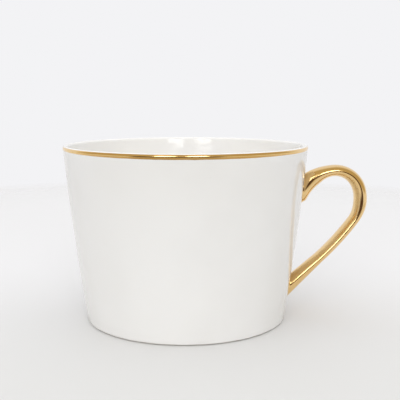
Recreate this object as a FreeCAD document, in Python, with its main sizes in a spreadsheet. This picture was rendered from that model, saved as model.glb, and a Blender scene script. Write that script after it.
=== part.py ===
import FreeCAD, Part
import math
import os
import Sketcher

# Porcelain teacup with a gilt lip line and a gilt strap handle. Millimetres, +Z up.
# The origin is on the cup's axis in the plane of its foot, and the handle lies along +X.

SIZES = (
    # Cup, measured on the glazed surface. The wall's two faces are arcs of a very large circle.
    ("rim_radius", 44.0),
    ("base_radius", 36.35),
    ("cup_height", 63.6),
    ("wall_curve", 1000.0),
    ("lip_radius", 1.0),
    ("wall_base", 3.0),
    ("inner_fillet", 9.0),
    # Floor and foot ring, measured on the bare clay
    ("floor_thickness", 3.2),
    ("foot_recess", 2.0),
    ("foot_width", 3.2),
    ("ring_round", 0.8),
    ("edge_round", 1.2),
    # Coats and joints. The gold line's edges are drops below the top of the lip.
    ("glaze_thickness", 0.2),
    ("wipe_height", 0.5),
    ("gold_thickness", 0.1),
    ("line_thickness", 0.25),
    ("gold_top", 0.25),
    ("gold_band", 1.8),
    ("slip_thickness", 0.4),
    # Handle's centre line: a loop, a side arc, a long bow and a straight leg to the lower root
    ("loop_reach", 12.8),
    ("loop_drop", 19.2),
    ("loop_radius", 9.4),
    ("side_start", 17.5),
    ("side_radius", 13.6),
    ("bow_radius", 100.0),
    ("bow_turn", 10.7),
    ("lower_root_height", 10.45),
    # Handle's strap, measured on the gold. Its thickness lies in the plane of the handle.
    ("strap_width", 8.0),
    ("strap_top", 4.2),
    ("strap_side", 4.7),
    ("strap_waist", 3.7),
    ("strap_foot", 5.4),
    # Upper root, by angles round the loop from +X: the strap flares up to the wall on its
    # outside, and on its inside it runs down the wall as a nib that ends in the wall.
    ("root_flare", 2.6),
    ("flare_start", 95.0),
    ("flare_end", 144.5),
    ("nib_start", 135.0),
    ("nib_turn", 190.0),
    ("nib_end", 195.5),
    ("nib_rise", 3.6),
    ("dive_start", 186.5),
    ("dive_rise", 0.7),
    ("nib_width", 1.8),
)
NAMES = [alias for alias, _ in SIZES]
# How gently the nib's inner face leaves the loop, and how late its width draws in
NIB_EASE, WIDTH_EASE = 1.6, 4
# Sections along the handle's five stretches, and poles round each section
NIB_SECTIONS, LOOP_SECTIONS, SIDE_SECTIONS, BOW_SECTIONS, LEG_SECTIONS = 26, 12, 6, 5, 6
RING = 16
CUBIC = 3
# Ends and centre of an edge in a sketch, and the sketch's own origin
START, END, CENTRE = 1, 2, 3
ORIGIN = (-1, 1)
UPWARD = FreeCAD.Vector(0, 0, 1)

doc = FreeCAD.newDocument("teacup")
sheet = doc.addObject("Spreadsheet::Sheet", "Sizes")
for row, (alias, value) in enumerate(SIZES, start=1):
    sheet.set("A%d" % row, alias)
    sheet.set("B%d" % row, str(value))
    sheet.setAlias("B%d" % row, alias)
doc.recompute()


def size(alias):
    return float(sheet.get(alias))


def expression(text):
    """A sum of aliases and numbers, such as rim_radius - lip_radius, read from the sheet."""
    return " ".join("Sizes." + word if word in NAMES else word for word in text.split())


def total(text):
    """The value of such a sum."""
    value, sign = 0.0, 1
    for word in text.split():
        if word in ("+", "-"):
            sign = 1 if word == "+" else -1
        else:
            value += sign * (size(word) if word in NAMES else float(word))
    return value


# The depths of the cup's surfaces, as sums that follow a radius of its glazed outside
CLAY, GLAZED, GILT = "- glaze_thickness", "", "+ line_thickness"
SLIP = "- glaze_thickness + slip_thickness"
# The same for its inside, where the clay lies outward of the glaze
BORE_CLAY, BORE_GLAZED = "+ glaze_thickness", ""
# Centres of the cup's small arcs, as sums
EDGE_X, EDGE_Z = "base_radius - edge_round", "edge_round - glaze_thickness"
LIP_X, LIP_Z = "rim_radius - lip_radius", "cup_height - lip_radius"
FILLET_X = "base_radius - wall_base - inner_fillet"
FILLET_Z = "foot_recess + floor_thickness + glaze_thickness + inner_fillet"
RING_X = "base_radius - edge_round - foot_width"


def circle_centre(first, first_reach, second, second_reach):
    """Centre, on the axis side, of the circle at these distances from two points."""
    span = second - first
    along = (first_reach ** 2 - second_reach ** 2 + span.Length ** 2) / (2 * span.Length)
    across = math.sqrt(first_reach ** 2 - along ** 2)
    unit = span / span.Length
    return first + unit * along + FreeCAD.Vector(-unit.y, unit.x, 0) * across


def angle_of(vector):
    return math.atan2(vector.y, vector.x)


class HalfSection:
    """Centres and joints of the arcs in the cup's half section: x is radius, y is height."""

    def __init__(self):
        curve, lip = size("wall_curve"), size("lip_radius")
        edge, fillet = size("edge_round"), size("inner_fillet")
        self.edge = FreeCAD.Vector(total(EDGE_X), total(EDGE_Z), 0)
        self.lip = FreeCAD.Vector(total(LIP_X), total(LIP_Z), 0)
        self.fillet = FreeCAD.Vector(total(FILLET_X), total(FILLET_Z), 0)
        self.wall = circle_centre(self.edge, curve - edge, self.lip, curve - lip)
        self.bore = circle_centre(self.fillet, curve - fillet, self.lip, curve + lip)
        self.foot_turn = -math.pi / 2
        self.edge_turn = angle_of(self.edge - self.wall)
        self.lip_turn = angle_of(self.lip - self.wall)
        self.apex_turn = math.pi / 2
        self.brim_turn = angle_of(self.bore - self.lip) % (2 * math.pi)

    def wall_radius(self, height):
        """Radius of the glazed outside at a height."""
        return self.wall.x + math.sqrt(size("wall_curve") ** 2 - (height - self.wall.y) ** 2)


cup = HalfSection()


class Outline:
    """A closed half section drawn in a body's own XZ plane, to be turned about the axis."""

    def __init__(self, label):
        self.body = doc.addObject("PartDesign::Body", label)
        self.body.Label = label
        self.sketch = self.body.newObject("Sketcher::SketchObject", label + "_section")
        plane = [item for item in self.body.Origin.OriginFeatures if item.Role == "XZ_Plane"][0]
        self.sketch.AttachmentSupport = [(plane, "")]
        self.sketch.MapMode = "FlatFace"

    def rule(self, kind, *places):
        return self.sketch.addConstraint(Sketcher.Constraint(kind, *places))

    def measure(self, kind, *places, to):
        index = self.rule(kind, *places, total(to))
        self.sketch.setExpression("Constraints[%d]" % index, expression(to))

    def place(self, edge, point, x=None, z=None):
        for kind, text in (("DistanceX", x), ("DistanceY", z)):
            if text is not None:
                self.measure(kind, *ORIGIN, edge, point, to=text)

    def arc(self, centre, radius, first, last, construction=False):
        circle = Part.Circle(centre, UPWARD, total(radius))
        index = self.sketch.addGeometry(Part.ArcOfCircle(circle, first, last), construction)
        self.measure("Radius", index, to=radius)
        return index

    def line(self, first, last):
        return self.sketch.addGeometry(Part.LineSegment(first, last), False)

    def spot(self, edge, point):
        return self.sketch.getPoint(edge, point)

    def bridge(self, first, first_point, second, second_point):
        """A straight line between the ends of two edges."""
        index = self.line(self.spot(first, first_point), self.spot(second, second_point))
        self.rule("Coincident", index, START, first, first_point)
        self.rule("Coincident", index, END, second, second_point)

    def to_axis(self, edge, point):
        """A level line from the end of an edge to the axis."""
        start = self.spot(edge, point)
        index = self.line(start, FreeCAD.Vector(0, start.y, 0))
        self.rule("Coincident", index, START, edge, point)
        self.rule("Horizontal", index)
        self.place(index, END, x="0")
        return index

    def outside(self, depth, bottom, top):
        """Edge, wall and lip arcs of the outside at a depth, between two angles."""
        edge = self.arc(cup.edge, "edge_round " + depth, bottom, cup.edge_turn)
        self.place(edge, CENTRE, EDGE_X, EDGE_Z)
        wall = self.arc(cup.wall, "wall_curve " + depth, cup.edge_turn, cup.lip_turn)
        lip = self.arc(cup.lip, "lip_radius " + depth, cup.lip_turn, top)
        self.place(lip, CENTRE, LIP_X, LIP_Z)
        self.rule("Tangent", edge, END, wall, START)
        self.rule("Tangent", wall, END, lip, START)
        return edge, wall, lip

    def inside(self, lip, depth):
        """Inner wall, fillet and floor below a lip arc, at a depth."""
        low = angle_of(cup.fillet - cup.bore)
        wall = self.arc(cup.bore, "wall_curve " + depth, low, angle_of(cup.lip - cup.bore))
        fillet = self.arc(cup.fillet, "inner_fillet " + depth, cup.foot_turn, low)
        self.place(fillet, CENTRE, FILLET_X, FILLET_Z)
        self.rule("Vertical", fillet, CENTRE, fillet, START)
        self.rule("Tangent", lip, END, wall, END)
        self.rule("Tangent", wall, START, fillet, END)
        return self.to_axis(fillet, START)

    def revolve(self):
        if self.sketch.solve() != 0 or not self.sketch.FullyConstrained:
            raise RuntimeError(self.sketch.Label + " isn't fully constrained")
        turn = self.body.newObject("PartDesign::Revolution", self.body.Label + "_turn")
        turn.Profile = self.sketch
        turn.ReferenceAxis = (self.sketch, ["V_Axis"])
        turn.Angle = 360
        doc.recompute()
        return self.body


def make_cup_body():
    """The jiggered clay: wall, floor and foot ring."""
    outline = Outline("cup_body")
    edge, _, lip = outline.outside(CLAY, cup.foot_turn, cup.brim_turn)
    floor = outline.inside(lip, BORE_CLAY)
    ring_x, ring_round, recess = total(RING_X), size("ring_round"), size("foot_recess")
    bead = outline.arc(FreeCAD.Vector(ring_x + ring_round, ring_round, 0), "ring_round",
                       math.pi, 3 * math.pi / 2)
    outline.place(bead, CENTRE, RING_X + " + ring_round", "ring_round")
    outline.rule("Horizontal", bead, CENTRE, bead, START)
    outline.rule("Vertical", bead, CENTRE, bead, END)
    outline.rule("Vertical", edge, CENTRE, edge, START)
    outline.bridge(bead, END, edge, START)
    side = outline.line(FreeCAD.Vector(ring_x, ring_round, 0), FreeCAD.Vector(ring_x, recess, 0))
    outline.rule("Coincident", side, START, bead, START)
    outline.rule("Vertical", side)
    outline.place(side, END, z="foot_recess")
    under = outline.to_axis(side, END)
    outline.bridge(under, END, floor, END)
    return outline.revolve()


def make_outer_coat():
    """The glaze dipped on the outside, from the wiped foot to the lip's apex."""
    outline = Outline("outer_coat")
    runs = []
    for depth in (GLAZED, CLAY):
        drop = size("wipe_height") - cup.edge.y
        edge, wall, lip = outline.outside(
            depth, math.asin(drop / total("edge_round " + depth)), cup.apex_turn)
        outline.place(edge, START, z="wipe_height")
        outline.rule("Vertical", lip, CENTRE, lip, END)
        runs.append((edge, lip))
    (outer_edge, outer_lip), (inner_edge, inner_lip) = runs
    outline.bridge(outer_edge, START, inner_edge, START)
    outline.bridge(outer_lip, END, inner_lip, END)
    return outline.revolve()


def make_inner_glaze():
    """The glaze poured inside, from the lip's apex to the floor."""
    outline = Outline("inner_glaze")
    runs = []
    for depth, bore_depth in ((GLAZED, BORE_GLAZED), (CLAY, BORE_CLAY)):
        lip = outline.arc(cup.lip, "lip_radius " + depth, cup.apex_turn, cup.brim_turn)
        outline.place(lip, CENTRE, LIP_X, LIP_Z)
        outline.rule("Vertical", lip, CENTRE, lip, START)
        runs.append((lip, outline.inside(lip, bore_depth)))
    (outer_lip, outer_floor), (inner_lip, inner_floor) = runs
    outline.bridge(outer_lip, START, inner_lip, START)
    outline.bridge(outer_floor, END, inner_floor, END)
    return outline.revolve()


def make_underside_glaze():
    """The glazed disc under the floor, inside the foot ring."""
    disc = doc.addObject("Part::Cylinder", "underside_glaze")
    disc.setExpression("Radius", expression(RING_X))
    disc.setExpression("Height", expression("glaze_thickness"))
    disc.setExpression("Placement.Base.z", expression("foot_recess - glaze_thickness"))
    return disc


def make_rim_gilding():
    """The gold line round the outer half of the lip."""
    outline = Outline("rim_gilding")
    top = size("cup_height") - size("gold_top")
    bottom = size("cup_height") - size("gold_band")
    runs = []
    for depth in (GILT, GLAZED):
        edge = outline.arc(cup.edge, "edge_round " + depth, cup.foot_turn, cup.edge_turn,
                           construction=True)
        outline.place(edge, CENTRE, EDGE_X, EDGE_Z)
        outline.rule("Vertical", edge, CENTRE, edge, START)
        low = math.asin((bottom - cup.wall.y) / total("wall_curve " + depth))
        wall = outline.arc(cup.wall, "wall_curve " + depth, low, cup.lip_turn)
        high = math.asin((top - cup.lip.y) / total("lip_radius " + depth))
        lip = outline.arc(cup.lip, "lip_radius " + depth, cup.lip_turn, high)
        outline.place(lip, CENTRE, LIP_X, LIP_Z)
        outline.place(lip, END, z="cup_height - gold_top")
        outline.place(wall, START, z="cup_height - gold_band")
        outline.rule("Tangent", wall, END, lip, START)
        outline.rule("Tangent", edge, END, wall)
        runs.append((wall, lip))
    (outer_wall, outer_lip), (inner_wall, inner_lip) = runs
    outline.bridge(outer_wall, START, inner_wall, START)
    outline.bridge(outer_lip, END, inner_lip, END)
    return outline.revolve()


def make_envelope(name, depth):
    """The cup's outside as one full solid at a depth, which trims the handle."""
    outline = Outline(name)
    edge, _, lip = outline.outside(depth, cup.foot_turn, cup.apex_turn)
    outline.rule("Vertical", edge, CENTRE, edge, START)
    outline.rule("Vertical", lip, CENTRE, lip, END)
    outline.bridge(outline.to_axis(edge, START), END, outline.to_axis(lip, END), END)
    return outline.revolve()


def steps(first, last, count):
    return [first + (last - first) * index / count for index in range(count + 1)]


def past(value, low, high):
    """How far the value is past low, as a share of the way to high, and 0 before it."""
    return max(0.0, (value - low) / (high - low))


def ease(value, low, high):
    """Rises smoothly from 0 at low to 1 at high."""
    run = min(1.0, past(value, low, high))
    return run * run * (3 - 2 * run)


def spoke(angle):
    """Unit vector in the handle's plane at an angle in degrees from +X."""
    turn = math.radians(angle)
    return FreeCAD.Vector(math.cos(turn), 0, math.sin(turn))


class Handle:
    """The strap's sections, each a spoke of the arc of the centre line that it lies on."""

    def __init__(self):
        height = size("cup_height") - size("loop_drop")
        foot_height = size("lower_root_height")
        self.foot = FreeCAD.Vector(cup.wall_radius(foot_height), 0, foot_height)
        self.loop = FreeCAD.Vector(cup.wall_radius(height) + size("loop_reach"), 0, height)
        self.side = self.loop + spoke(size("side_start")) * (size("loop_radius") - size("side_radius"))
        # The leg is the line through the foot that the bow meets after its turn
        gap = size("bow_radius") - size("side_radius")
        reach = self.side - self.foot
        offset = size("side_radius") + gap * (1 - math.cos(math.radians(size("bow_turn"))))
        slope = math.atan2(reach.z, reach.x) - math.asin(offset / reach.Length)
        self.leg_turn = math.degrees(slope) - 90
        self.bow_start = self.leg_turn + size("bow_turn")
        self.bow = self.side - spoke(self.bow_start) * gap

    def sections(self, inset):
        """Centre, outward direction, half thickness and half width, from the nib downwards."""
        flare_end, side_start = size("flare_end"), size("side_start")
        knee = self.bow + spoke(self.leg_turn) * size("bow_radius")
        nib = [self.loop_section(angle) for angle in steps(size("nib_end"), flare_end, NIB_SECTIONS)]
        loop = [self.loop_section(angle) for angle in steps(flare_end, side_start, LOOP_SECTIONS)]
        side = [self.side_section(angle) for angle in steps(side_start, self.bow_start, SIDE_SECTIONS)]
        bow = [self.bow_section(angle) for angle in steps(self.bow_start, self.leg_turn, BOW_SECTIONS)]
        beyond = 1 + size("strap_width") / (self.foot - knee).Length
        leg = [self.leg_section(knee, share) for share in steps(0, beyond, LEG_SECTIONS)]
        return [(centre, out, half - inset, width - inset)
                for centre, out, half, width in nib[:-1] + loop[:-1] + side[:-1] + bow[:-1] + leg]

    def loop_section(self, angle):
        top, side = size("strap_top") / 2, size("strap_side") / 2
        half = top + (side - top) * ease(angle, 90, size("side_start"))
        run = past(angle, size("nib_start"), size("nib_turn"))
        dive = past(angle, size("dive_start"), size("nib_turn"))
        inner = size("loop_radius") - half + size("nib_rise") * run ** NIB_EASE
        inner += size("dive_rise") * dive ** 2
        flare = min(1.0, past(angle, size("flare_start"), size("flare_end")))
        outer = max(size("loop_radius") + half + size("root_flare") * flare ** 2, inner + top)
        wide, narrow = size("strap_width") / 2, size("nib_width") / 2
        width = math.sqrt(wide ** 2 + (narrow ** 2 - wide ** 2) * min(1.0, run) ** WIDTH_EASE)
        out = spoke(angle)
        return self.loop + out * ((inner + outer) / 2), out, (outer - inner) / 2, width

    def side_section(self, angle):
        slim = ease(-angle, 0, -self.bow_start)
        half = (size("strap_side") + (size("strap_waist") - size("strap_side")) * slim) / 2
        out = spoke(angle)
        return self.side + out * size("side_radius"), out, half, size("strap_width") / 2

    def bow_section(self, angle):
        out = spoke(angle)
        return (self.bow + out * size("bow_radius"), out, size("strap_waist") / 2,
                size("strap_width") / 2)

    def leg_section(self, knee, share):
        half = (size("strap_waist") + (size("strap_foot") - size("strap_waist")) * share) / 2
        return knee + (self.foot - knee) * share, spoke(self.leg_turn), half, size("strap_width") / 2


handle = Handle()


def make_strap(name, inset):
    """The handle's oval strap, set in all round, with both of its ends inside the cup."""
    turns = steps(0, 2 * math.pi, RING)[:-1]
    # A closed cubic spline runs inside its poles by this much
    stretch = CUBIC / (2 + math.cos(2 * math.pi / RING))
    poles = []
    for centre, out, half, width in handle.sections(inset):
        across = out * (half * stretch)
        aside = FreeCAD.Vector(0, width * stretch, 0)
        poles.append([centre + across * math.cos(turn) + aside * math.sin(turn)
                      for turn in turns])
    spans = len(poles) - CUBIC
    clamped = [CUBIC + 1] + [1] * (spans - 1) + [CUBIC + 1]
    surface = Part.BSplineSurface()
    surface.buildFromPolesMultsKnots(
        poles, clamped, [1] * (RING + 1), list(range(spans + 1)), list(range(RING + 1)),
        False, True, CUBIC, CUBIC)
    ends = [Part.Face(Part.Wire(surface.uIso(end).toShape())) for end in (0, spans)]
    shell = Part.Shell([surface.toShape()] + ends)
    shell.sewShape()
    solid = Part.Solid(shell)
    if solid.Volume < 0:
        solid.reverse()
    strap = doc.addObject("Part::Feature", name)
    strap.Shape = solid
    return strap


def combine(kind, label, base, tool):
    result = doc.addObject("Part::" + kind, label)
    result.Label = label
    result.Base, result.Tool = base, tool
    return result


def make_handle_pieces(clay_envelope, outer_coat):
    """Clay, slip, glaze and gold of the handle, and the outer glaze that its roots pass through."""
    gold, glaze = size("gold_thickness"), size("glaze_thickness")
    gilt_strap = make_strap("gilt_strap", 0)
    glazed_strap = make_strap("glazed_strap", gold)
    clay_strap = make_strap("clay_strap", gold + glaze)
    slip_envelope = make_envelope("slip_envelope", SLIP)
    core = combine("Cut", "handle_core", clay_strap, slip_envelope)
    glaze_coat = combine("Cut", "handle_glaze_coat", glazed_strap, clay_strap)
    gold_coat = combine("Cut", "handle_gold_coat", gilt_strap, glazed_strap)
    slip = combine("Common", "slip", combine("Cut", "strap_ends", clay_strap, clay_envelope),
                   slip_envelope)
    above = doc.addObject("Part::Box", "above")
    for side in ("Length", "Width", "Height"):
        above.setExpression(side, expression("cup_height") + " + 2 * " + expression("rim_radius"))
    above.setExpression("Placement.Base.y", "-Width / 2")
    above.setExpression("Placement.Base.z", "(%s) / 2" % expression(
        "cup_height - loop_drop + lower_root_height"))
    return [
        core,
        combine("Cut", "handle_glaze", glaze_coat, clay_envelope),
        combine("Cut", "handle_gilding", gold_coat, make_envelope("glazed_envelope", GLAZED)),
        combine("Common", "upper_slip_joint", slip, above),
        combine("Cut", "lower_slip_joint", slip, above),
        combine("Cut", "outer_glaze", outer_coat, glazed_strap),
    ]


pieces = [make_cup_body(), make_inner_glaze(), make_underside_glaze(), make_rim_gilding()]
pieces += make_handle_pieces(make_envelope("clay_envelope", CLAY), make_outer_coat())
doc.recompute()
failed = [item.Label for item in doc.Objects if {"Invalid", "Error"} & set(item.State)]
failed += [piece.Label for piece in pieces if piece.Shape.isNull() or not piece.Shape.isValid()]
if failed:
    raise RuntimeError("failed: " + ", ".join(failed))
os.makedirs("parts", exist_ok=True)
for piece in pieces:
    piece.Shape.exportStep("parts/%s.step" % piece.Label)
    print(piece.Label, len(piece.Shape.Solids), "solid,", round(piece.Shape.Volume, 2), "mm3")
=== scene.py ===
import math

import bmesh
import bpy
from bpy.props import FloatProperty, FloatVectorProperty, PointerProperty
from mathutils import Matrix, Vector, noise


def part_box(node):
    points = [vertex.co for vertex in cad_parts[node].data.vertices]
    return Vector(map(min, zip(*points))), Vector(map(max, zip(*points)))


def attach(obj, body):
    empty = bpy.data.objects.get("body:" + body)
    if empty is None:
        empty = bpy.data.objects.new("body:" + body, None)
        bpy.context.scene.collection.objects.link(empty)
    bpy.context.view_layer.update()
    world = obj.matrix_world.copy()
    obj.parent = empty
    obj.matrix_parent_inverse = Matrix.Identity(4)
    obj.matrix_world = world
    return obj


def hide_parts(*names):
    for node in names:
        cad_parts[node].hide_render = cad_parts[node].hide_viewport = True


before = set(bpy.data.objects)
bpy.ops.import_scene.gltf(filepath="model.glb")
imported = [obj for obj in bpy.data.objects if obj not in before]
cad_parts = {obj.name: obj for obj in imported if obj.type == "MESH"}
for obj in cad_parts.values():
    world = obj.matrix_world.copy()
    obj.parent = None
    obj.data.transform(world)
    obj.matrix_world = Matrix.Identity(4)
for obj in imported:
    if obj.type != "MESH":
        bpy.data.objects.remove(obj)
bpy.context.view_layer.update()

# Porcelain teacup with a gilt lip line and a gilt strap handle, modelled on its fixed frame.
# Metres, +Z up. The origin is on the cup's axis in the plane of its foot, and the handle lies
# along +X.

bl_info = {
    "name": "Gilt teacup",
    "version": (1, 0),
    "blender": (4, 5, 0),
    "location": "View3D > Sidebar > Teacup",
    "description": "Turns the clay, glaze and gold of a porcelain teacup and sets its stage",
    "category": "Add Mesh",
}

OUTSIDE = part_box("outer_glaze")[1]
BODY = "root"
MM = 0.001
Y = Vector((0, 1, 0))
# Steps round a turned piece, along each of the cup's arcs, and along and round the handle
TURNS = 192
WALL_STEPS, LIP_STEPS, FILLET_STEPS, EDGE_STEPS = 28, 14, 16, 10
NIB_STEPS, LOOP_STEPS, SIDE_STEPS, BOW_STEPS, LEG_STEPS = 90, 70, 30, 14, 60
RING = 56
# How gently the nib's inner face leaves the loop, and how late its width draws in
NIB_EASE, WIDTH_EASE = 1.6, 4
# Directions of the lowest point of the foot and of the highest point of the lip, in the section
FOOT_TURN, APEX_TURN = -math.pi / 2, math.pi / 2
# Edges sharper than this stay crisp, and points nearer than this are one
SHARP = math.radians(40)
MERGE = 1e-7


def length(name, description, millimetres):
    return FloatProperty(name=name, description=description, default=millimetres * MM,
                         unit="LENGTH", precision=5)


def angle(name, description, degrees):
    return FloatProperty(name=name, description=description, default=math.radians(degrees),
                         unit="ROTATION")


def share(name, description, value):
    return FloatProperty(name=name, description=description, default=value, subtype="FACTOR")


def colour(name, description, *value):
    return FloatVectorProperty(name=name, description=description, default=value,
                               subtype="COLOR", min=0.0, max=1.0)


class CupSizes(bpy.types.PropertyGroup):
    """Sizes of the turned cup, on its glazed surface"""
    rim_radius: length("Rim radius", "Radius of the glazed lip", OUTSIDE.y / MM)
    height: length("Height", "Top of the glazed lip", OUTSIDE.z / MM)
    base_radius: length("Base radius", "Radius where the wall meets the foot", 36.35)
    wall_curve: length("Wall curve", "Radius of the very slight bow of the wall", 1000.0)
    lip_radius: length("Lip radius", "Rounding of the lip, half its thickness", 1.0)
    wall_base: length("Wall at base", "Thickness of the wall where it meets the floor", 3.0)
    inner_fillet: length("Inner fillet", "Rounding between the wall and the floor", 9.0)
    floor: length("Floor", "Thickness of the clay floor", 3.2)
    foot_recess: length("Foot recess", "Depth of the hollow inside the foot ring", 2.0)
    foot_width: length("Foot width", "Width of the foot ring", 3.2)
    ring_round: length("Ring rounding", "Rounding of the foot ring's inner edge", 0.8)
    edge_round: length("Edge rounding", "Rounding of the foot's outer edge", 1.2)
    glaze: length("Glaze", "Thickness of the glaze", 0.2)
    wipe_height: length("Wipe height", "Height of the bare clay above the foot", 0.5)
    wipe_waver: length("Wipe waver", "Unevenness of the edge that the glaze was wiped to", 0.12)


class HandleSizes(bpy.types.PropertyGroup):
    """Sizes of the strap handle, on its gilt surface"""
    loop_reach: length("Loop reach", "Centre of the loop from the wall", 12.8)
    loop_drop: length("Loop drop", "Centre of the loop below the lip", 19.2)
    loop_radius: length("Loop radius", "Radius of the loop's centre line", 9.4)
    side_start: angle("Side start", "Where the side arc takes over from the loop", 17.5)
    side_radius: length("Side radius", "Radius of the side arc's centre line", 13.6)
    bow_radius: length("Bow radius", "Radius of the long bow's centre line", 100.0)
    bow_turn: angle("Bow turn", "How far the long bow turns", 10.7)
    root_height: length("Lower root height", "Height at which the leg meets the wall", 10.45)
    width: length("Strap width", "Width of the strap across the handle", 8.0)
    top: length("Strap top", "Thickness at the top of the loop", 4.2)
    side: length("Strap side", "Thickness at the side", 4.7)
    waist: length("Strap waist", "Thickness at the bow", 3.7)
    foot: length("Strap foot", "Thickness at the lower root", 5.4)
    root_flare: length("Root flare", "Thickening at the upper root", 2.6)
    flare_start: angle("Flare start", "Where the upper root starts to thicken", 95.0)
    flare_end: angle("Flare end", "Where the upper root meets the wall", 144.5)
    nib_start: angle("Nib start", "Where the inner face leaves the loop", 135.0)
    nib_turn: angle("Nib turn", "Where the nib is narrowest", 190.0)
    nib_end: angle("Nib end", "Where the nib ends in the wall", 195.5)
    nib_rise: length("Nib rise", "How far the inner face has left the loop at the nib", 3.6)
    dive_start: angle("Dive start", "Where the nib turns into the wall", 186.5)
    dive_rise: length("Dive rise", "How far the nib has turned into the wall", 0.7)
    nib_width: length("Nib width", "Width of the nib", 1.8)
    root_fillet: length("Root fillet", "Rounding between the strap's sides and the wall", 0.8)
    root_depth: length("Root depth", "How far the roots reach into the wall", 0.6)


class GoldSizes(bpy.types.PropertyGroup):
    """Sizes of the gilding"""
    film: length("Film", "Thickness of the gold film", 0.03)
    line_top: length("Line top", "Upper edge of the lip line below the lip", 0.25)
    line_band: length("Line band", "Lower edge of the lip line below the lip", 1.8)
    line_waver: length("Line waver", "Unevenness of the lip line's lower edge", 0.07)
    line_sway: length("Line sway", "How much narrower the lip line is by the handle and opposite", 0.4)


class Colours(bpy.types.PropertyGroup):
    """Colours of the finishes and the stage"""
    glaze: colour("Glaze", "White porcelain under clear glaze", 0.895, 0.883, 0.86)
    glaze_deep: colour("Deep glaze", "Where the glaze lies a little thicker", 0.872, 0.859, 0.835)
    clay: colour("Clay", "Bare fired porcelain", 0.80, 0.77, 0.71)
    clay_worn: colour("Worn clay", "Bare clay rubbed grey on the foot", 0.52, 0.50, 0.46)
    gold: colour("Gold", "Bright gold where its film is full", 0.87, 0.625, 0.31)
    gold_thin: colour("Thin gold", "Bright gold where its film is thin", 0.83, 0.565, 0.24)
    floor: colour("Floor", "Pale table, behind the cup", 0.775, 0.775, 0.79)
    # The near floor is darker than the far floor: painted shade on the table in front of the cup
    floor_near_shaded: colour("Near floor", "Pale table, in front of the cup", 0.675, 0.675, 0.67)
    backdrop: colour("Backdrop", "Pale backdrop", 0.896, 0.896, 0.913)
    room: colour("Room", "Warm room all round, which only the gloss shows", 0.55, 0.455, 0.27)
    shade: colour("Shade", "Dark band below the windows, which only the gloss shows", 0.09, 0.05, 0.03)


class Stage(bpy.types.PropertyGroup):
    """Camera, lamps and floor"""
    camera_place: FloatVectorProperty(name="Camera place", description="Where the camera stands",
                                      default=(-0.00701, -0.27217, 0.0824), subtype="TRANSLATION")
    camera_pitch: angle("Camera pitch", "How far the camera looks down", 8.21)
    camera_heading: angle("Camera heading", "How far the camera looks to the right of +Y", 2.564)
    camera_lens: FloatProperty(name="Lens", description="Focal length on a 36 mm sensor",
                               default=67.5, unit="CAMERA")
    ambient: share("Ambient", "Light from all round on the object", 0.52)
    overhead: FloatProperty(name="Overhead", description="Light from straight above", default=1.32)
    window: FloatProperty(name="Window", description="Brightness of the windows", default=4.2)
    floor_middle: length("Floor middle", "Middle of the floor, behind the cup", 100.0)
    floor_full: length("Full floor", "Radius up to which the floor is whole", 182.0)
    floor_end: length("Floor end", "Radius at which the floor has faded into the backdrop", 345.0)


def steps(first, last, count):
    return [first + (last - first) * index / count for index in range(count + 1)]


def past(value, low, high):
    """How far the value is past low, as a share of the way to high, and 0 before it."""
    return max(0.0, (value - low) / (high - low))


def ease(value, low, high):
    """Rises smoothly from 0 at low to 1 at high."""
    run = min(1.0, past(value, low, high))
    return run * run * (3 - 2 * run)


def spoke(turn):
    """Unit vector in the XZ plane at an angle from +X."""
    return Vector((math.cos(turn), 0, math.sin(turn)))


def angle_of(vector):
    return math.atan2(vector.z, vector.x)


def arc(centre, radius, first, last, count):
    return [centre + spoke(turn) * radius for turn in steps(first, last, count)]


def circle_centre(first, first_reach, second, second_reach):
    """Centre, on the axis side, of the circle at these distances from two points."""
    span = second - first
    along = (first_reach ** 2 - second_reach ** 2 + span.length_squared) / (2 * span.length)
    across = math.sqrt(first_reach ** 2 - along ** 2)
    unit = span.normalized()
    return first + unit * along + Vector((-unit.z, 0, unit.x)) * across


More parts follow.
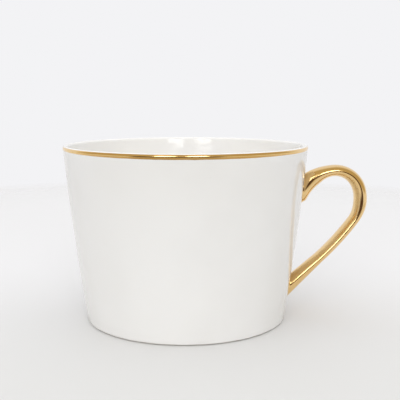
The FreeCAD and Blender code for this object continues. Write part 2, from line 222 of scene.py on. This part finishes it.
class HalfSection:
    """The cup's half section: centres of its arcs and the angles at which they join. In it, x is
    the radius and z is the height."""

    def __init__(self, cup):
        self.cup = cup
        fillet_x = cup.base_radius - cup.wall_base - cup.inner_fillet
        fillet_z = cup.foot_recess + cup.floor + cup.glaze + cup.inner_fillet
        self.edge = Vector((cup.base_radius - cup.edge_round, 0, cup.edge_round - cup.glaze))
        self.lip = Vector((cup.rim_radius - cup.lip_radius, 0, cup.height - cup.lip_radius))
        self.fillet = Vector((fillet_x, 0, fillet_z))
        curve = cup.wall_curve
        self.wall = circle_centre(self.edge, curve - cup.edge_round, self.lip,
                                  curve - cup.lip_radius)
        self.bore = circle_centre(self.fillet, curve - cup.inner_fillet, self.lip,
                                  curve + cup.lip_radius)
        self.edge_turn = angle_of(self.edge - self.wall)
        self.lip_turn = angle_of(self.lip - self.wall)
        self.brim_turn = angle_of(self.bore - self.lip) % (2 * math.pi)

    def wall_radius(self, height):
        """Radius of the glazed outside at a height."""
        return self.wall.x + math.sqrt(self.cup.wall_curve ** 2 - (height - self.wall.z) ** 2)

    def outside(self, depth, bottom, top):
        """Edge, wall and lip arcs of the outside at a depth, between two angles."""
        cup = self.cup
        return (arc(self.edge, cup.edge_round - depth, bottom, self.edge_turn, EDGE_STEPS)[:-1]
                + arc(self.wall, cup.wall_curve - depth, self.edge_turn, self.lip_turn, WALL_STEPS)
                + arc(self.lip, cup.lip_radius - depth, self.lip_turn, top, LIP_STEPS)[1:])

    def inside(self, depth):
        """Lip, inner wall, fillet and floor at a depth, from the lip's top to the axis."""
        cup = self.cup
        low, high = angle_of(self.fillet - self.bore), angle_of(self.lip - self.bore)
        run = (arc(self.lip, cup.lip_radius - depth, APEX_TURN, self.brim_turn, LIP_STEPS)[:-1]
               + arc(self.bore, cup.wall_curve + depth, high, low, WALL_STEPS)
               + arc(self.fillet, cup.inner_fillet + depth, low, FOOT_TURN, FILLET_STEPS)[1:])
        return run + [Vector((0, 0, run[-1].z))]

    def wiped(self, depth):
        """The outside from the wiped edge of the glaze to the lip's top, at a depth."""
        drop = self.cup.wipe_height - self.edge.z
        start = math.asin(drop / (self.cup.edge_round - depth))
        return self.outside(depth, start, APEX_TURN)


class Strap:
    """The handle's sections, each a spoke of the arc of the centre line that it lies on."""

    def __init__(self, sizes, cup):
        self.sizes, self.cup = sizes, cup
        height = cup.cup.height - sizes.loop_drop
        self.foot = Vector((cup.wall_radius(sizes.root_height), 0, sizes.root_height))
        self.loop = Vector((cup.wall_radius(height) + sizes.loop_reach, 0, height))
        self.side = self.loop + spoke(sizes.side_start) * (sizes.loop_radius - sizes.side_radius)
        # The leg is the line through the foot that the bow meets after its turn
        gap = sizes.bow_radius - sizes.side_radius
        reach = self.side - self.foot
        offset = sizes.side_radius + gap * (1 - math.cos(sizes.bow_turn))
        self.leg_turn = angle_of(reach) - math.asin(offset / reach.length) - math.pi / 2
        self.bow_start = self.leg_turn + sizes.bow_turn
        self.bow = self.side - spoke(self.bow_start) * gap
        self.knee = self.bow + spoke(self.leg_turn) * sizes.bow_radius

    def sections(self):
        """Centre, outward direction, half thickness and half width, from the nib downwards."""
        sizes = self.sizes
        # The leg runs on into the wall by the strap's width
        beyond = 1 + sizes.width / (self.foot - self.knee).length
        runs = [
            (self.loop_section, steps(sizes.nib_end, sizes.flare_end, NIB_STEPS)),
            (self.loop_section, steps(sizes.flare_end, sizes.side_start, LOOP_STEPS)),
            (self.side_section, steps(sizes.side_start, self.bow_start, SIDE_STEPS)),
            (self.bow_section, steps(self.bow_start, self.leg_turn, BOW_STEPS)),
            (self.leg_section, steps(0, beyond, LEG_STEPS)),
        ]
        return [section(value) for section, values in runs for value in values[:-1]]

    def loop_section(self, turn):
        sizes = self.sizes
        top, side = sizes.top / 2, sizes.side / 2
        half = top + (side - top) * ease(turn, math.pi / 2, sizes.side_start)
        run = past(turn, sizes.nib_start, sizes.nib_turn)
        dive = past(turn, sizes.dive_start, sizes.nib_turn)
        inner = sizes.loop_radius - half + sizes.nib_rise * run ** NIB_EASE
        inner += sizes.dive_rise * dive ** 2
        flare = min(1.0, past(turn, sizes.flare_start, sizes.flare_end))
        outer = max(sizes.loop_radius + half + sizes.root_flare * flare ** 2, inner + top)
        wide, narrow = sizes.width / 2, sizes.nib_width / 2
        width = math.sqrt(wide ** 2 + (narrow ** 2 - wide ** 2) * min(1.0, run) ** WIDTH_EASE)
        out = spoke(turn)
        return self.loop + out * ((inner + outer) / 2), out, (outer - inner) / 2, width

    def side_section(self, turn):
        sizes = self.sizes
        slim = ease(-turn, 0, -self.bow_start)
        half = (sizes.side + (sizes.waist - sizes.side) * slim) / 2
        out = spoke(turn)
        return self.side + out * sizes.side_radius, out, half, sizes.width / 2

    def bow_section(self, turn):
        out = spoke(turn)
        return self.bow + out * self.sizes.bow_radius, out, self.sizes.waist / 2, self.sizes.width / 2

    def leg_section(self, run):
        sizes = self.sizes
        half = (sizes.waist + (sizes.foot - sizes.waist) * run) / 2
        return self.knee + (self.foot - self.knee) * run, spoke(self.leg_turn), half, sizes.width / 2

    def trim(self, bm):
        """Cuts the tube's two ends off along a plane a little inside the wall."""
        low, high = (Vector((self.cup.wall_radius(place) - self.sizes.root_depth, 0, place))
                     for place in (self.foot.z, self.loop.z))
        bmesh.ops.bisect_plane(bm, geom=[*bm.verts, *bm.edges, *bm.faces], dist=MERGE,
                               plane_co=low, plane_no=Y.cross(high - low), clear_inner=True)

    def fillet(self, point):
        """How far the strap's side spreads at a point, to round into the wall."""
        radius = self.sizes.root_fillet
        gap = math.hypot(point.x, point.y) - self.cup.wall_radius(point.z)
        lack = radius - min(max(gap, 0.0), radius)
        return radius - math.sqrt(radius ** 2 - lack ** 2)

    def tube(self, inset):
        """The strap's open tube, set in all round, as a bmesh with its unbent place."""
        bm = bmesh.new()
        turn_of = bm.verts.layers.float.new("turn")
        unbent = bm.verts.layers.float_vector.new("unbent")
        ring = bmesh.ops.create_circle(bm, segments=RING, radius=1.0)["verts"]
        for vert in ring:
            vert[turn_of] = math.atan2(vert.co.y, vert.co.x)
        edges = list(bm.edges)
        run, before = 0.0, None
        for centre, out, half, width in self.sections():
            if before is not None:
                run += (centre - before).length
                made = bmesh.ops.extrude_edge_only(bm, edges=edges)["geom"]
                ring = [item for item in made if isinstance(item, bmesh.types.BMVert)]
                edges = [item for item in made if isinstance(item, bmesh.types.BMEdge)
                         and item.verts[0] in ring and item.verts[1] in ring]
            before = centre
            for vert in ring:
                sine = math.sin(vert[turn_of])
                across = (half - inset) * math.cos(vert[turn_of])
                aside = (width - inset) * sine
                vert.co = centre + out * across + Y * aside
                vert.co += Y * sine * self.fillet(vert.co)
                vert[unbent] = Vector((across, aside, run))
        return bm


def turned(outline):
    """A bmesh of a closed half section turned about the cup's axis."""
    bm = bmesh.new()
    verts = [bm.verts.new(point) for point in outline]
    # A side that lies on the axis turns into nothing
    edges = [bm.edges.new(pair) for pair in zip(verts, verts[1:] + verts[:1])
             if pair[0].co.x > MERGE or pair[1].co.x > MERGE]
    bmesh.ops.spin(bm, geom=verts + edges, cent=(0, 0, 0), axis=(0, 0, 1),
                   angle=2 * math.pi, steps=TURNS, use_merge=True)
    bmesh.ops.remove_doubles(bm, verts=bm.verts, dist=MERGE)
    bmesh.ops.recalc_face_normals(bm, faces=bm.faces)
    return bm


def waver(bm, top, amount, scale):
    """Moves what lies below a height up and down a little round the cup."""
    for vert in bm.verts:
        if vert.co.z < top:
            around = Vector((vert.co.x, vert.co.y, 0)).normalized()
            vert.co.z += amount * noise.noise(around * scale)


def add_piece(bm, name, slot, node):
    """A piece made from a bmesh, which stands for a CAD node."""
    mesh = bpy.data.meshes.new(name)
    bm.to_mesh(mesh)
    bm.free()
    mesh.shade_smooth()
    mesh.set_sharp_from_angle(angle=SHARP)
    mesh.materials.append(finish_for(slot))
    piece = bpy.data.objects.new(name, mesh)
    bpy.context.scene.collection.objects.link(piece)
    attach(piece, BODY)
    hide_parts(node)


class Wire:
    """An output of a node, on which arithmetic adds Math nodes."""

    def __init__(self, tree, socket):
        self.tree, self.socket = tree, socket

    def maths(self, operation, first, second):
        return self.tree.add("ShaderNodeMath", {"operation": operation}, {0: first, 1: second})

    def __add__(self, other):
        return self.maths("ADD", self, other)

    def __sub__(self, other):
        return self.maths("SUBTRACT", self, other)

    def __rsub__(self, other):
        return self.maths("SUBTRACT", other, self)

    def __mul__(self, other):
        return self.maths("MULTIPLY", self, other)

    __radd__ = __add__
    __rmul__ = __mul__


class Tree:
    """The node tree of a material or of the world."""

    def __init__(self, owner):
        owner.use_nodes = True
        self.nodes, self.links = owner.node_tree.nodes, owner.node_tree.links
        self.nodes.clear()

    def add(self, kind, settings=None, values=None, output=0):
        """A node with its settings and the values or links of its sockets, as one output."""
        node = self.nodes.new(kind)
        for name, setting in (settings or {}).items():
            setattr(node, name, setting)
        for name, value in (values or {}).items():
            if isinstance(value, Wire):
                self.links.new(value.socket, node.inputs[name])
            else:
                node.inputs[name].default_value = value
        return Wire(self, node.outputs[output]) if node.outputs else None

    def mixed(self, first, second, factor):
        """One colour turning into another."""
        return self.add("ShaderNodeMix", {"data_type": "RGBA"},
                        {"Factor": factor, 6: first, 7: second}, output=2)

    def noise(self, place, scale, detail):
        return self.add("ShaderNodeTexNoise", {}, {"Vector": place, "Scale": scale,
                                                  "Detail": detail})

    def stretched(self, place, *scale):
        return self.add("ShaderNodeMapping", {}, {"Vector": place, "Scale": scale})

    def ranged(self, value, low, high, first=0.0, last=1.0):
        """A value taken from one range to another, smoothly."""
        return self.add("ShaderNodeMapRange", {"interpolation_type": "SMOOTHSTEP"},
                        {"Value": value, 1: low, 2: high, 3: first, 4: last})

    def bump(self, height, distance, normal=None):
        values = {"Height": height, "Distance": distance}
        if normal is not None:
            values["Normal"] = normal
        return self.add("ShaderNodeBump", {}, values)


def rgba(value):
    return (*value, 1.0)


def white_glaze(tree, colours):
    """Glossy clear glaze over white porcelain, a little deeper where it pooled."""
    place = tree.add("ShaderNodeTexCoord", output="Object")
    pooled = tree.ranged(tree.noise(place, scale=26.0, detail=3.0), 0.42, 0.66)
    speck = tree.add("ShaderNodeTexVoronoi", {}, {"Vector": place, "Scale": 130.0})
    # Pinpoint specks, a little darker than the rest
    clean = tree.ranged(speck, 0.006, 0.018, first=0.86, last=1.0)
    smudge = tree.noise(place, scale=75.0, detail=5.0)
    tint = tree.mixed(rgba(colours.glaze), rgba(colours.glaze_deep), pooled)
    shade = tree.add("ShaderNodeMix", {"data_type": "RGBA", "blend_type": "MULTIPLY"},
                     {"Factor": 1.0, 6: tint, 7: clean}, output=2)
    ripple = tree.bump(tree.noise(place, scale=95.0, detail=2.0), distance=0.00006)
    peel = tree.bump(tree.noise(place, scale=900.0, detail=2.0), distance=0.000004, normal=ripple)
    return {"Base Color": shade, "Roughness": 0.03 + 0.05 * smudge, "Normal": peel, "IOR": 1.52,
            "Subsurface Weight": 0.12, "Subsurface Scale": 0.002,
            "Subsurface Radius": (1.0, 0.9, 0.75)}


def bare_porcelain(tree, colours):
    """Fine unglazed clay, rubbed grey where the foot slides on tables."""
    place = tree.add("ShaderNodeTexCoord", output="Object")
    height = tree.add("ShaderNodeSeparateXYZ", {}, {"Vector": place}, output="Z")
    scuffs = tree.noise(tree.stretched(place, 1.0, 1.0, 4.0), scale=420.0, detail=6.0)
    rubbed = tree.ranged(height, 0.00035, 0.0) * tree.ranged(scuffs, 0.44, 0.62)
    grain = tree.noise(place, scale=5200.0, detail=3.0)
    mottle = tree.noise(place, scale=260.0, detail=4.0)
    pale = tree.mixed(rgba(colours.clay), rgba([0.93 * part for part in colours.clay]), mottle)
    return {"Base Color": tree.mixed(pale, rgba(colours.clay_worn), rubbed * 0.7),
            "Roughness": 0.72 + 0.2 * grain, "Normal": tree.bump(grain, distance=0.00006),
            "IOR": 1.5}


def bright_gold(tree, colours):
    """Bright gold fired on by brush: mirror smooth, with faint strokes along its length."""
    unbent = tree.add("ShaderNodeAttribute", {"attribute_name": "unbent"}, output="Vector")
    strokes = tree.noise(tree.stretched(unbent, 1400.0, 1400.0, 45.0), scale=1.0, detail=4.0)
    cloud = tree.noise(tree.stretched(unbent, 160.0, 160.0, 70.0), scale=1.0, detail=3.0)
    dust = tree.noise(tree.stretched(unbent, 3500.0, 3500.0, 3500.0), scale=1.0, detail=2.0)
    thin = tree.ranged(0.65 * cloud + 0.35 * strokes, 0.38, 0.66)
    ripple = tree.bump(cloud, distance=0.00002)
    brushed = tree.bump(strokes, distance=0.0000012, normal=ripple)
    return {"Base Color": tree.mixed(rgba(colours.gold), rgba(colours.gold_thin), thin),
            "Metallic": 1.0, "Roughness": 0.07 + 0.08 * strokes + 0.04 * dust,
            "Normal": brushed}


FINISHES = {"white_glaze": white_glaze, "bare_porcelain": bare_porcelain,
            "bright_gold": bright_gold}


def finish_for(slot):
    """The material of a slot, made the first time that it is asked for."""
    name = "finish_" + slot
    material = bpy.data.materials.get(name)
    if material is None:
        material = bpy.data.materials.new(name)
        tree = Tree(material)
        values = FINISHES[slot](tree, bpy.context.scene.teacup_colours)
        shader = tree.add("ShaderNodeBsdfPrincipled", {}, values)
        tree.add("ShaderNodeOutputMaterial", {}, {"Surface": shader})
    return material


class TEACUP_OT_clay(bpy.types.Operator):
    """Turns the clay cup: wall, floor and foot ring"""
    bl_idname = "teacup.clay"
    bl_label = "Turn the clay cup"

    def execute(self, context):
        cup = context.scene.teacup_cup
        half = HalfSection(cup)
        ring = half.edge.x - cup.foot_width
        bead = Vector((ring + cup.ring_round, 0, cup.ring_round))
        foot = [Vector((0, 0, cup.foot_recess)), Vector((ring, 0, cup.foot_recess))]
        foot += arc(bead, cup.ring_round, -math.pi, FOOT_TURN, EDGE_STEPS)
        outline = foot + half.outside(cup.glaze, FOOT_TURN, APEX_TURN) + half.inside(cup.glaze)[1:]
        add_piece(turned(outline), "clay_cup", "bare_porcelain", "cup_body")
        return {"FINISHED"}


class TEACUP_OT_glaze(bpy.types.Operator):
    """Coats the cup outside, inside and under its floor"""
    bl_idname = "teacup.glaze"
    bl_label = "Glaze the cup"

    def execute(self, context):
        cup = context.scene.teacup_cup
        half = HalfSection(cup)
        outside = turned(half.wiped(0.0) + half.wiped(cup.glaze)[::-1])
        waver(outside, cup.wipe_height + cup.glaze, cup.wipe_waver, scale=9.0)
        add_piece(outside, "glaze_outside", "white_glaze", "outer_glaze")
        inside = turned(half.inside(0.0) + half.inside(cup.glaze)[::-1])
        add_piece(inside, "glaze_inside", "white_glaze", "inner_glaze")
        # Under the floor the glaze creeps down the ring by half its thickness more
        ring = half.edge.x - cup.foot_width
        under = turned([Vector((radius, 0, cup.foot_recess - depth)) for radius, depth in (
            (0, 0), (ring, 0), (ring, 1.5 * cup.glaze), (ring - cup.glaze, cup.glaze),
            (0, cup.glaze))])
        add_piece(under, "glaze_underside", "white_glaze", "underside_glaze")
        return {"FINISHED"}


class TEACUP_OT_lip_line(bpy.types.Operator):
    """Paints the gold line round the outer edge of the lip"""
    bl_idname = "teacup.lip_line"
    bl_label = "Gild the lip"

    def execute(self, context):
        cup, gold = context.scene.teacup_cup, context.scene.teacup_gold
        half = HalfSection(cup)
        runs = []
        for lift in (gold.film, 0.0):
            low = math.asin((cup.height - gold.line_band - half.wall.z) / (cup.wall_curve + lift))
            high = math.asin((cup.height - gold.line_top - half.lip.z) / (cup.lip_radius + lift))
            runs.append(arc(half.wall, cup.wall_curve + lift, low, half.lip_turn, EDGE_STEPS)[:-1]
                        + arc(half.lip, cup.lip_radius + lift, half.lip_turn, high, LIP_STEPS))
        line = turned(runs[0] + runs[1][::-1])
        unbent = line.verts.layers.float_vector.new("unbent")
        for vert in line.verts:
            vert[unbent] = Vector((vert.co.z, 0, math.atan2(vert.co.y, vert.co.x) * cup.rim_radius))
        lowest = cup.height - gold.line_band
        waver(line, lowest + gold.line_waver, gold.line_waver, scale=14.0)
        for vert in line.verts:
            share_down = past(vert.co.z, cup.height - cup.lip_radius, lowest)
            vert.co.z += gold.line_sway * share_down * (vert.co.x / cup.rim_radius) ** 2
        add_piece(line, "gold_lip_line", "bright_gold", "rim_gilding")
        return {"FINISHED"}


class TEACUP_OT_handle(bpy.types.Operator):
    """Shapes the handle's clay, its glaze and its gold"""
    bl_idname = "teacup.handle"
    bl_label = "Make the handle"

    def execute(self, context):
        scene = context.scene
        cup, gold = scene.teacup_cup, scene.teacup_gold
        strap = Strap(scene.teacup_handle, HalfSection(cup))
        for name, slot, node, inset, coat in (
                ("gold_handle", "bright_gold", "handle_gilding", 0.0, gold.film),
                ("glaze_handle", "white_glaze", "handle_glaze", gold.film, cup.glaze),
                ("clay_handle", "bare_porcelain", "handle_core", gold.film + cup.glaze, 0.0)):
            bm = strap.tube(inset)
            strap.trim(bm)
            bmesh.ops.recalc_face_normals(bm, faces=bm.faces)
            if coat:
                bmesh.ops.solidify(bm, geom=bm.faces[:], thickness=coat)
            else:
                bmesh.ops.holes_fill(bm, edges=[edge for edge in bm.edges if edge.is_boundary])
            add_piece(bm, name, slot, node)
        return {"FINISHED"}


class TEACUP_OT_slip(bpy.types.Operator):
    """Gives the two slip joints their clay finish"""
    bl_idname = "teacup.slip"
    bl_label = "Finish the slip joints"

    def execute(self, context):
        for node in ("upper_slip_joint", "lower_slip_joint"):
            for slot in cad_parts[node].material_slots:
                slot.material = finish_for("bare_porcelain")
        return {"FINISHED"}


def toward(azimuth, elevation):
    """Unit vector to a place seen from the cup: azimuth 0 is -Y, and 90 is +X."""
    turn, rise = math.radians(azimuth), math.radians(elevation)
    return Vector((math.sin(turn) * math.cos(rise), -math.cos(turn) * math.cos(rise),
                   math.sin(rise)))


# Windows: name, azimuth and elevation of the middle, width and height in degrees, and share of
# the windows' brightness. They hang WINDOW_REACH from the middle of the lip's top.
WINDOWS = (("left", -21.8, 25.5, 14.8, 24.0, 1.0), ("slit", -11.8, 25.5, 1.8, 24.0, 0.7),
           ("right", 9.4, 25.5, 16.4, 24.0, 1.0))
WINDOW_REACH = 2.4
# What the gloss sees is set out by the parts Y and Z of a direction: Y is back, Z is up.
# The warm room fades in upwards from the horizon, and from the back to the front.
ROOM_LOW, ROOM_HIGH = -0.03, 0.05
ROOM_BACK, ROOM_FRONT = 0.60, 0.20
# In front its tone comes back below the shade, as the edge of a table would show it.
TABLE_EDGE, TABLE_FULL = -0.19, -0.27
# The shade fades in downwards from the windows. Its azimuth, and the angles from there at which
# it ends and is full, are in degrees.
SHADE_TOP, SHADE_FULL = 0.26, 0.22
SHADE_MIDDLE = -10.0
SHADE_END, SHADE_START = 48.0, 34.0
# The floor's disc, and the places along Y between which its near tone, darker with painted shade,
# turns into its far one
FLOOR_RADIUS, FLOOR_SIDES = 0.8, 96
FLOOR_TURN = (-0.11, 0.10)
SENSOR_WIDTH = 36.0
CAMERA_CLIP = (0.01, 10.0)


class TEACUP_OT_stage(bpy.types.Operator):
    """Sets the floor, the backdrop, the lamps and the camera"""
    bl_idname = "teacup.stage"
    bl_label = "Set the stage"

    def execute(self, context):
        scene = context.scene
        settings, colours = scene.teacup_stage, scene.teacup_colours
        self.lay_floor(scene, settings, colours)
        self.paint_world(scene, settings, colours)
        for name, azimuth, elevation, wide, high, part in WINDOWS:
            self.hang_window(scene, name, toward(azimuth, elevation), wide, high,
                             part * settings.window)
        self.place_camera(scene, settings)
        scene.view_settings.view_transform = "Standard"
        return {"FINISHED"}

    def lay_floor(self, scene, settings, colours):
        """A pale floor that fades into the backdrop."""
        bm = bmesh.new()
        bmesh.ops.create_circle(bm, cap_ends=True, segments=FLOOR_SIDES, radius=FLOOR_RADIUS)
        mesh = bpy.data.meshes.new("floor")
        bm.to_mesh(mesh)
        bm.free()
        material = bpy.data.materials.new("floor")
        tree = Tree(material)
        place = tree.add("ShaderNodeTexCoord", output="Object")
        middle = (0, settings.floor_middle, 0)
        radius = tree.add("ShaderNodeVectorMath", {"operation": "DISTANCE"},
                          {0: place, 1: middle}, output="Value")
        gone = tree.ranged(radius, settings.floor_full, settings.floor_end)
        along = tree.add("ShaderNodeSeparateXYZ", {}, {"Vector": place}, output="Y")
        # The floor is darker towards the front: painted shade on the table in front of the cup
        tone = tree.mixed(rgba(colours.floor_near_shaded), rgba(colours.floor),
                          tree.ranged(along, *FLOOR_TURN))
        paper = tree.add("ShaderNodeBsdfPrincipled", {}, {"Base Color": tone, "Roughness": 0.6})
        clear = tree.add("ShaderNodeBsdfTransparent")
        surface = tree.add("ShaderNodeMixShader", {}, {0: gone, 1: paper, 2: clear})
        tree.add("ShaderNodeOutputMaterial", {}, {"Surface": surface})
        mesh.materials.append(material)
        floor = bpy.data.objects.new("floor", mesh)
        scene.collection.objects.link(floor)

    def paint_world(self, scene, settings, colours):
        """The backdrop, the light on dull surfaces, and the room that only the gloss shows."""
        scene.world = bpy.data.worlds.new("studio")
        tree = Tree(scene.world)
        direction = tree.add("ShaderNodeTexCoord", output="Generated")
        rise = tree.add("ShaderNodeSeparateXYZ", {}, {"Vector": direction}, output="Z")
        back = tree.add("ShaderNodeSeparateXYZ", {}, {"Vector": direction}, output="Y")
        facing = tree.add("ShaderNodeVectorMath", {"operation": "DOT_PRODUCT"},
                          {0: direction, 1: toward(SHADE_MIDDLE, 0)}, output="Value")
        walls = tree.ranged(rise, ROOM_LOW, ROOM_HIGH) + tree.ranged(rise, TABLE_EDGE, TABLE_FULL)
        room = walls * tree.ranged(back, ROOM_BACK, ROOM_FRONT)
        shade = (tree.ranged(rise, SHADE_TOP, SHADE_FULL) * tree.ranged(rise, TABLE_FULL, TABLE_EDGE)
                 * tree.ranged(facing, math.cos(math.radians(SHADE_END)),
                               math.cos(math.radians(SHADE_START))))
        camera = tree.add("ShaderNodeLightPath", output="Is Camera Ray")
        diffuse = tree.add("ShaderNodeLightPath", output="Is Diffuse Ray")
        seen = tree.mixed(rgba(colours.backdrop), rgba(colours.room), room * (1 - camera))
        seen = tree.mixed(seen, rgba(colours.shade), shade * (1 - camera))
        soft = tree.ranged(rise, 0.0, 1.0, settings.ambient, settings.overhead)
        light = tree.mixed(seen, tree.add("ShaderNodeCombineXYZ", {}, {0: soft, 1: soft, 2: soft}),
                           diffuse)
        shine = tree.add("ShaderNodeBackground", {}, {"Color": light, "Strength": 1.0})
        tree.add("ShaderNodeOutputWorld", {}, {"Surface": shine})

    def place_camera(self, scene, settings):
        data = bpy.data.cameras.new("camera")
        data.lens, data.sensor_width = settings.camera_lens, SENSOR_WIDTH
        data.clip_start, data.clip_end = CAMERA_CLIP
        camera = bpy.data.objects.new("camera", data)
        camera.location = settings.camera_place
        camera.rotation_euler = (math.pi / 2 - settings.camera_pitch, 0, -settings.camera_heading)
        scene.collection.objects.link(camera)
        scene.camera = camera

    def hang_window(self, scene, name, direction, wide, high, radiance):
        """An area lamp that fills an angle of the view from the cup."""
        data = bpy.data.lights.new("window_" + name, "AREA")
        data.shape = "RECTANGLE"
        data.size = 2 * WINDOW_REACH * math.tan(math.radians(wide) / 2)
        data.size_y = 2 * WINDOW_REACH * math.tan(math.radians(high) / 2)
        data.energy = radiance * math.pi * data.size * data.size_y
        lamp = bpy.data.objects.new("window_" + name, data)
        lamp.location = Vector((0, 0, OUTSIDE.z)) + direction * WINDOW_REACH
        lamp.rotation_euler = direction.to_track_quat("Z", "Y").to_euler()
        scene.collection.objects.link(lamp)


GROUPS = (("teacup_cup", CupSizes), ("teacup_handle", HandleSizes), ("teacup_gold", GoldSizes),
          ("teacup_colours", Colours), ("teacup_stage", Stage))
OPERATORS = (TEACUP_OT_clay, TEACUP_OT_glaze, TEACUP_OT_lip_line, TEACUP_OT_handle,
             TEACUP_OT_slip, TEACUP_OT_stage)


class TEACUP_PT_panel(bpy.types.Panel):
    """Lists the steps of the cup and their sizes"""
    bl_idname = "TEACUP_PT_panel"
    bl_label = "Teacup"
    bl_space_type = "VIEW_3D"
    bl_region_type = "UI"
    bl_category = "Teacup"

    def draw(self, context):
        for operator in OPERATORS:
            self.layout.operator(operator.bl_idname)
        for name, group in GROUPS:
            box = self.layout.box()
            box.label(text=group.__doc__)
            for field in group.__annotations__:
                box.prop(getattr(context.scene, name), field)


def register():
    for name, group in GROUPS:
        bpy.utils.register_class(group)
        setattr(bpy.types.Scene, name, PointerProperty(type=group))
    for item in (*OPERATORS, TEACUP_PT_panel):
        bpy.utils.register_class(item)


def unregister():
    for item in (TEACUP_PT_panel, *reversed(OPERATORS)):
        bpy.utils.unregister_class(item)
    for name, group in reversed(GROUPS):
        delattr(bpy.types.Scene, name)
        bpy.utils.unregister_class(group)


def main():
    register()
    bpy.ops.teacup.clay()
    bpy.ops.teacup.glaze()
    bpy.ops.teacup.lip_line()
    bpy.ops.teacup.handle()
    bpy.ops.teacup.slip()
    bpy.ops.teacup.stage()


if __name__ == "__main__":
    main()
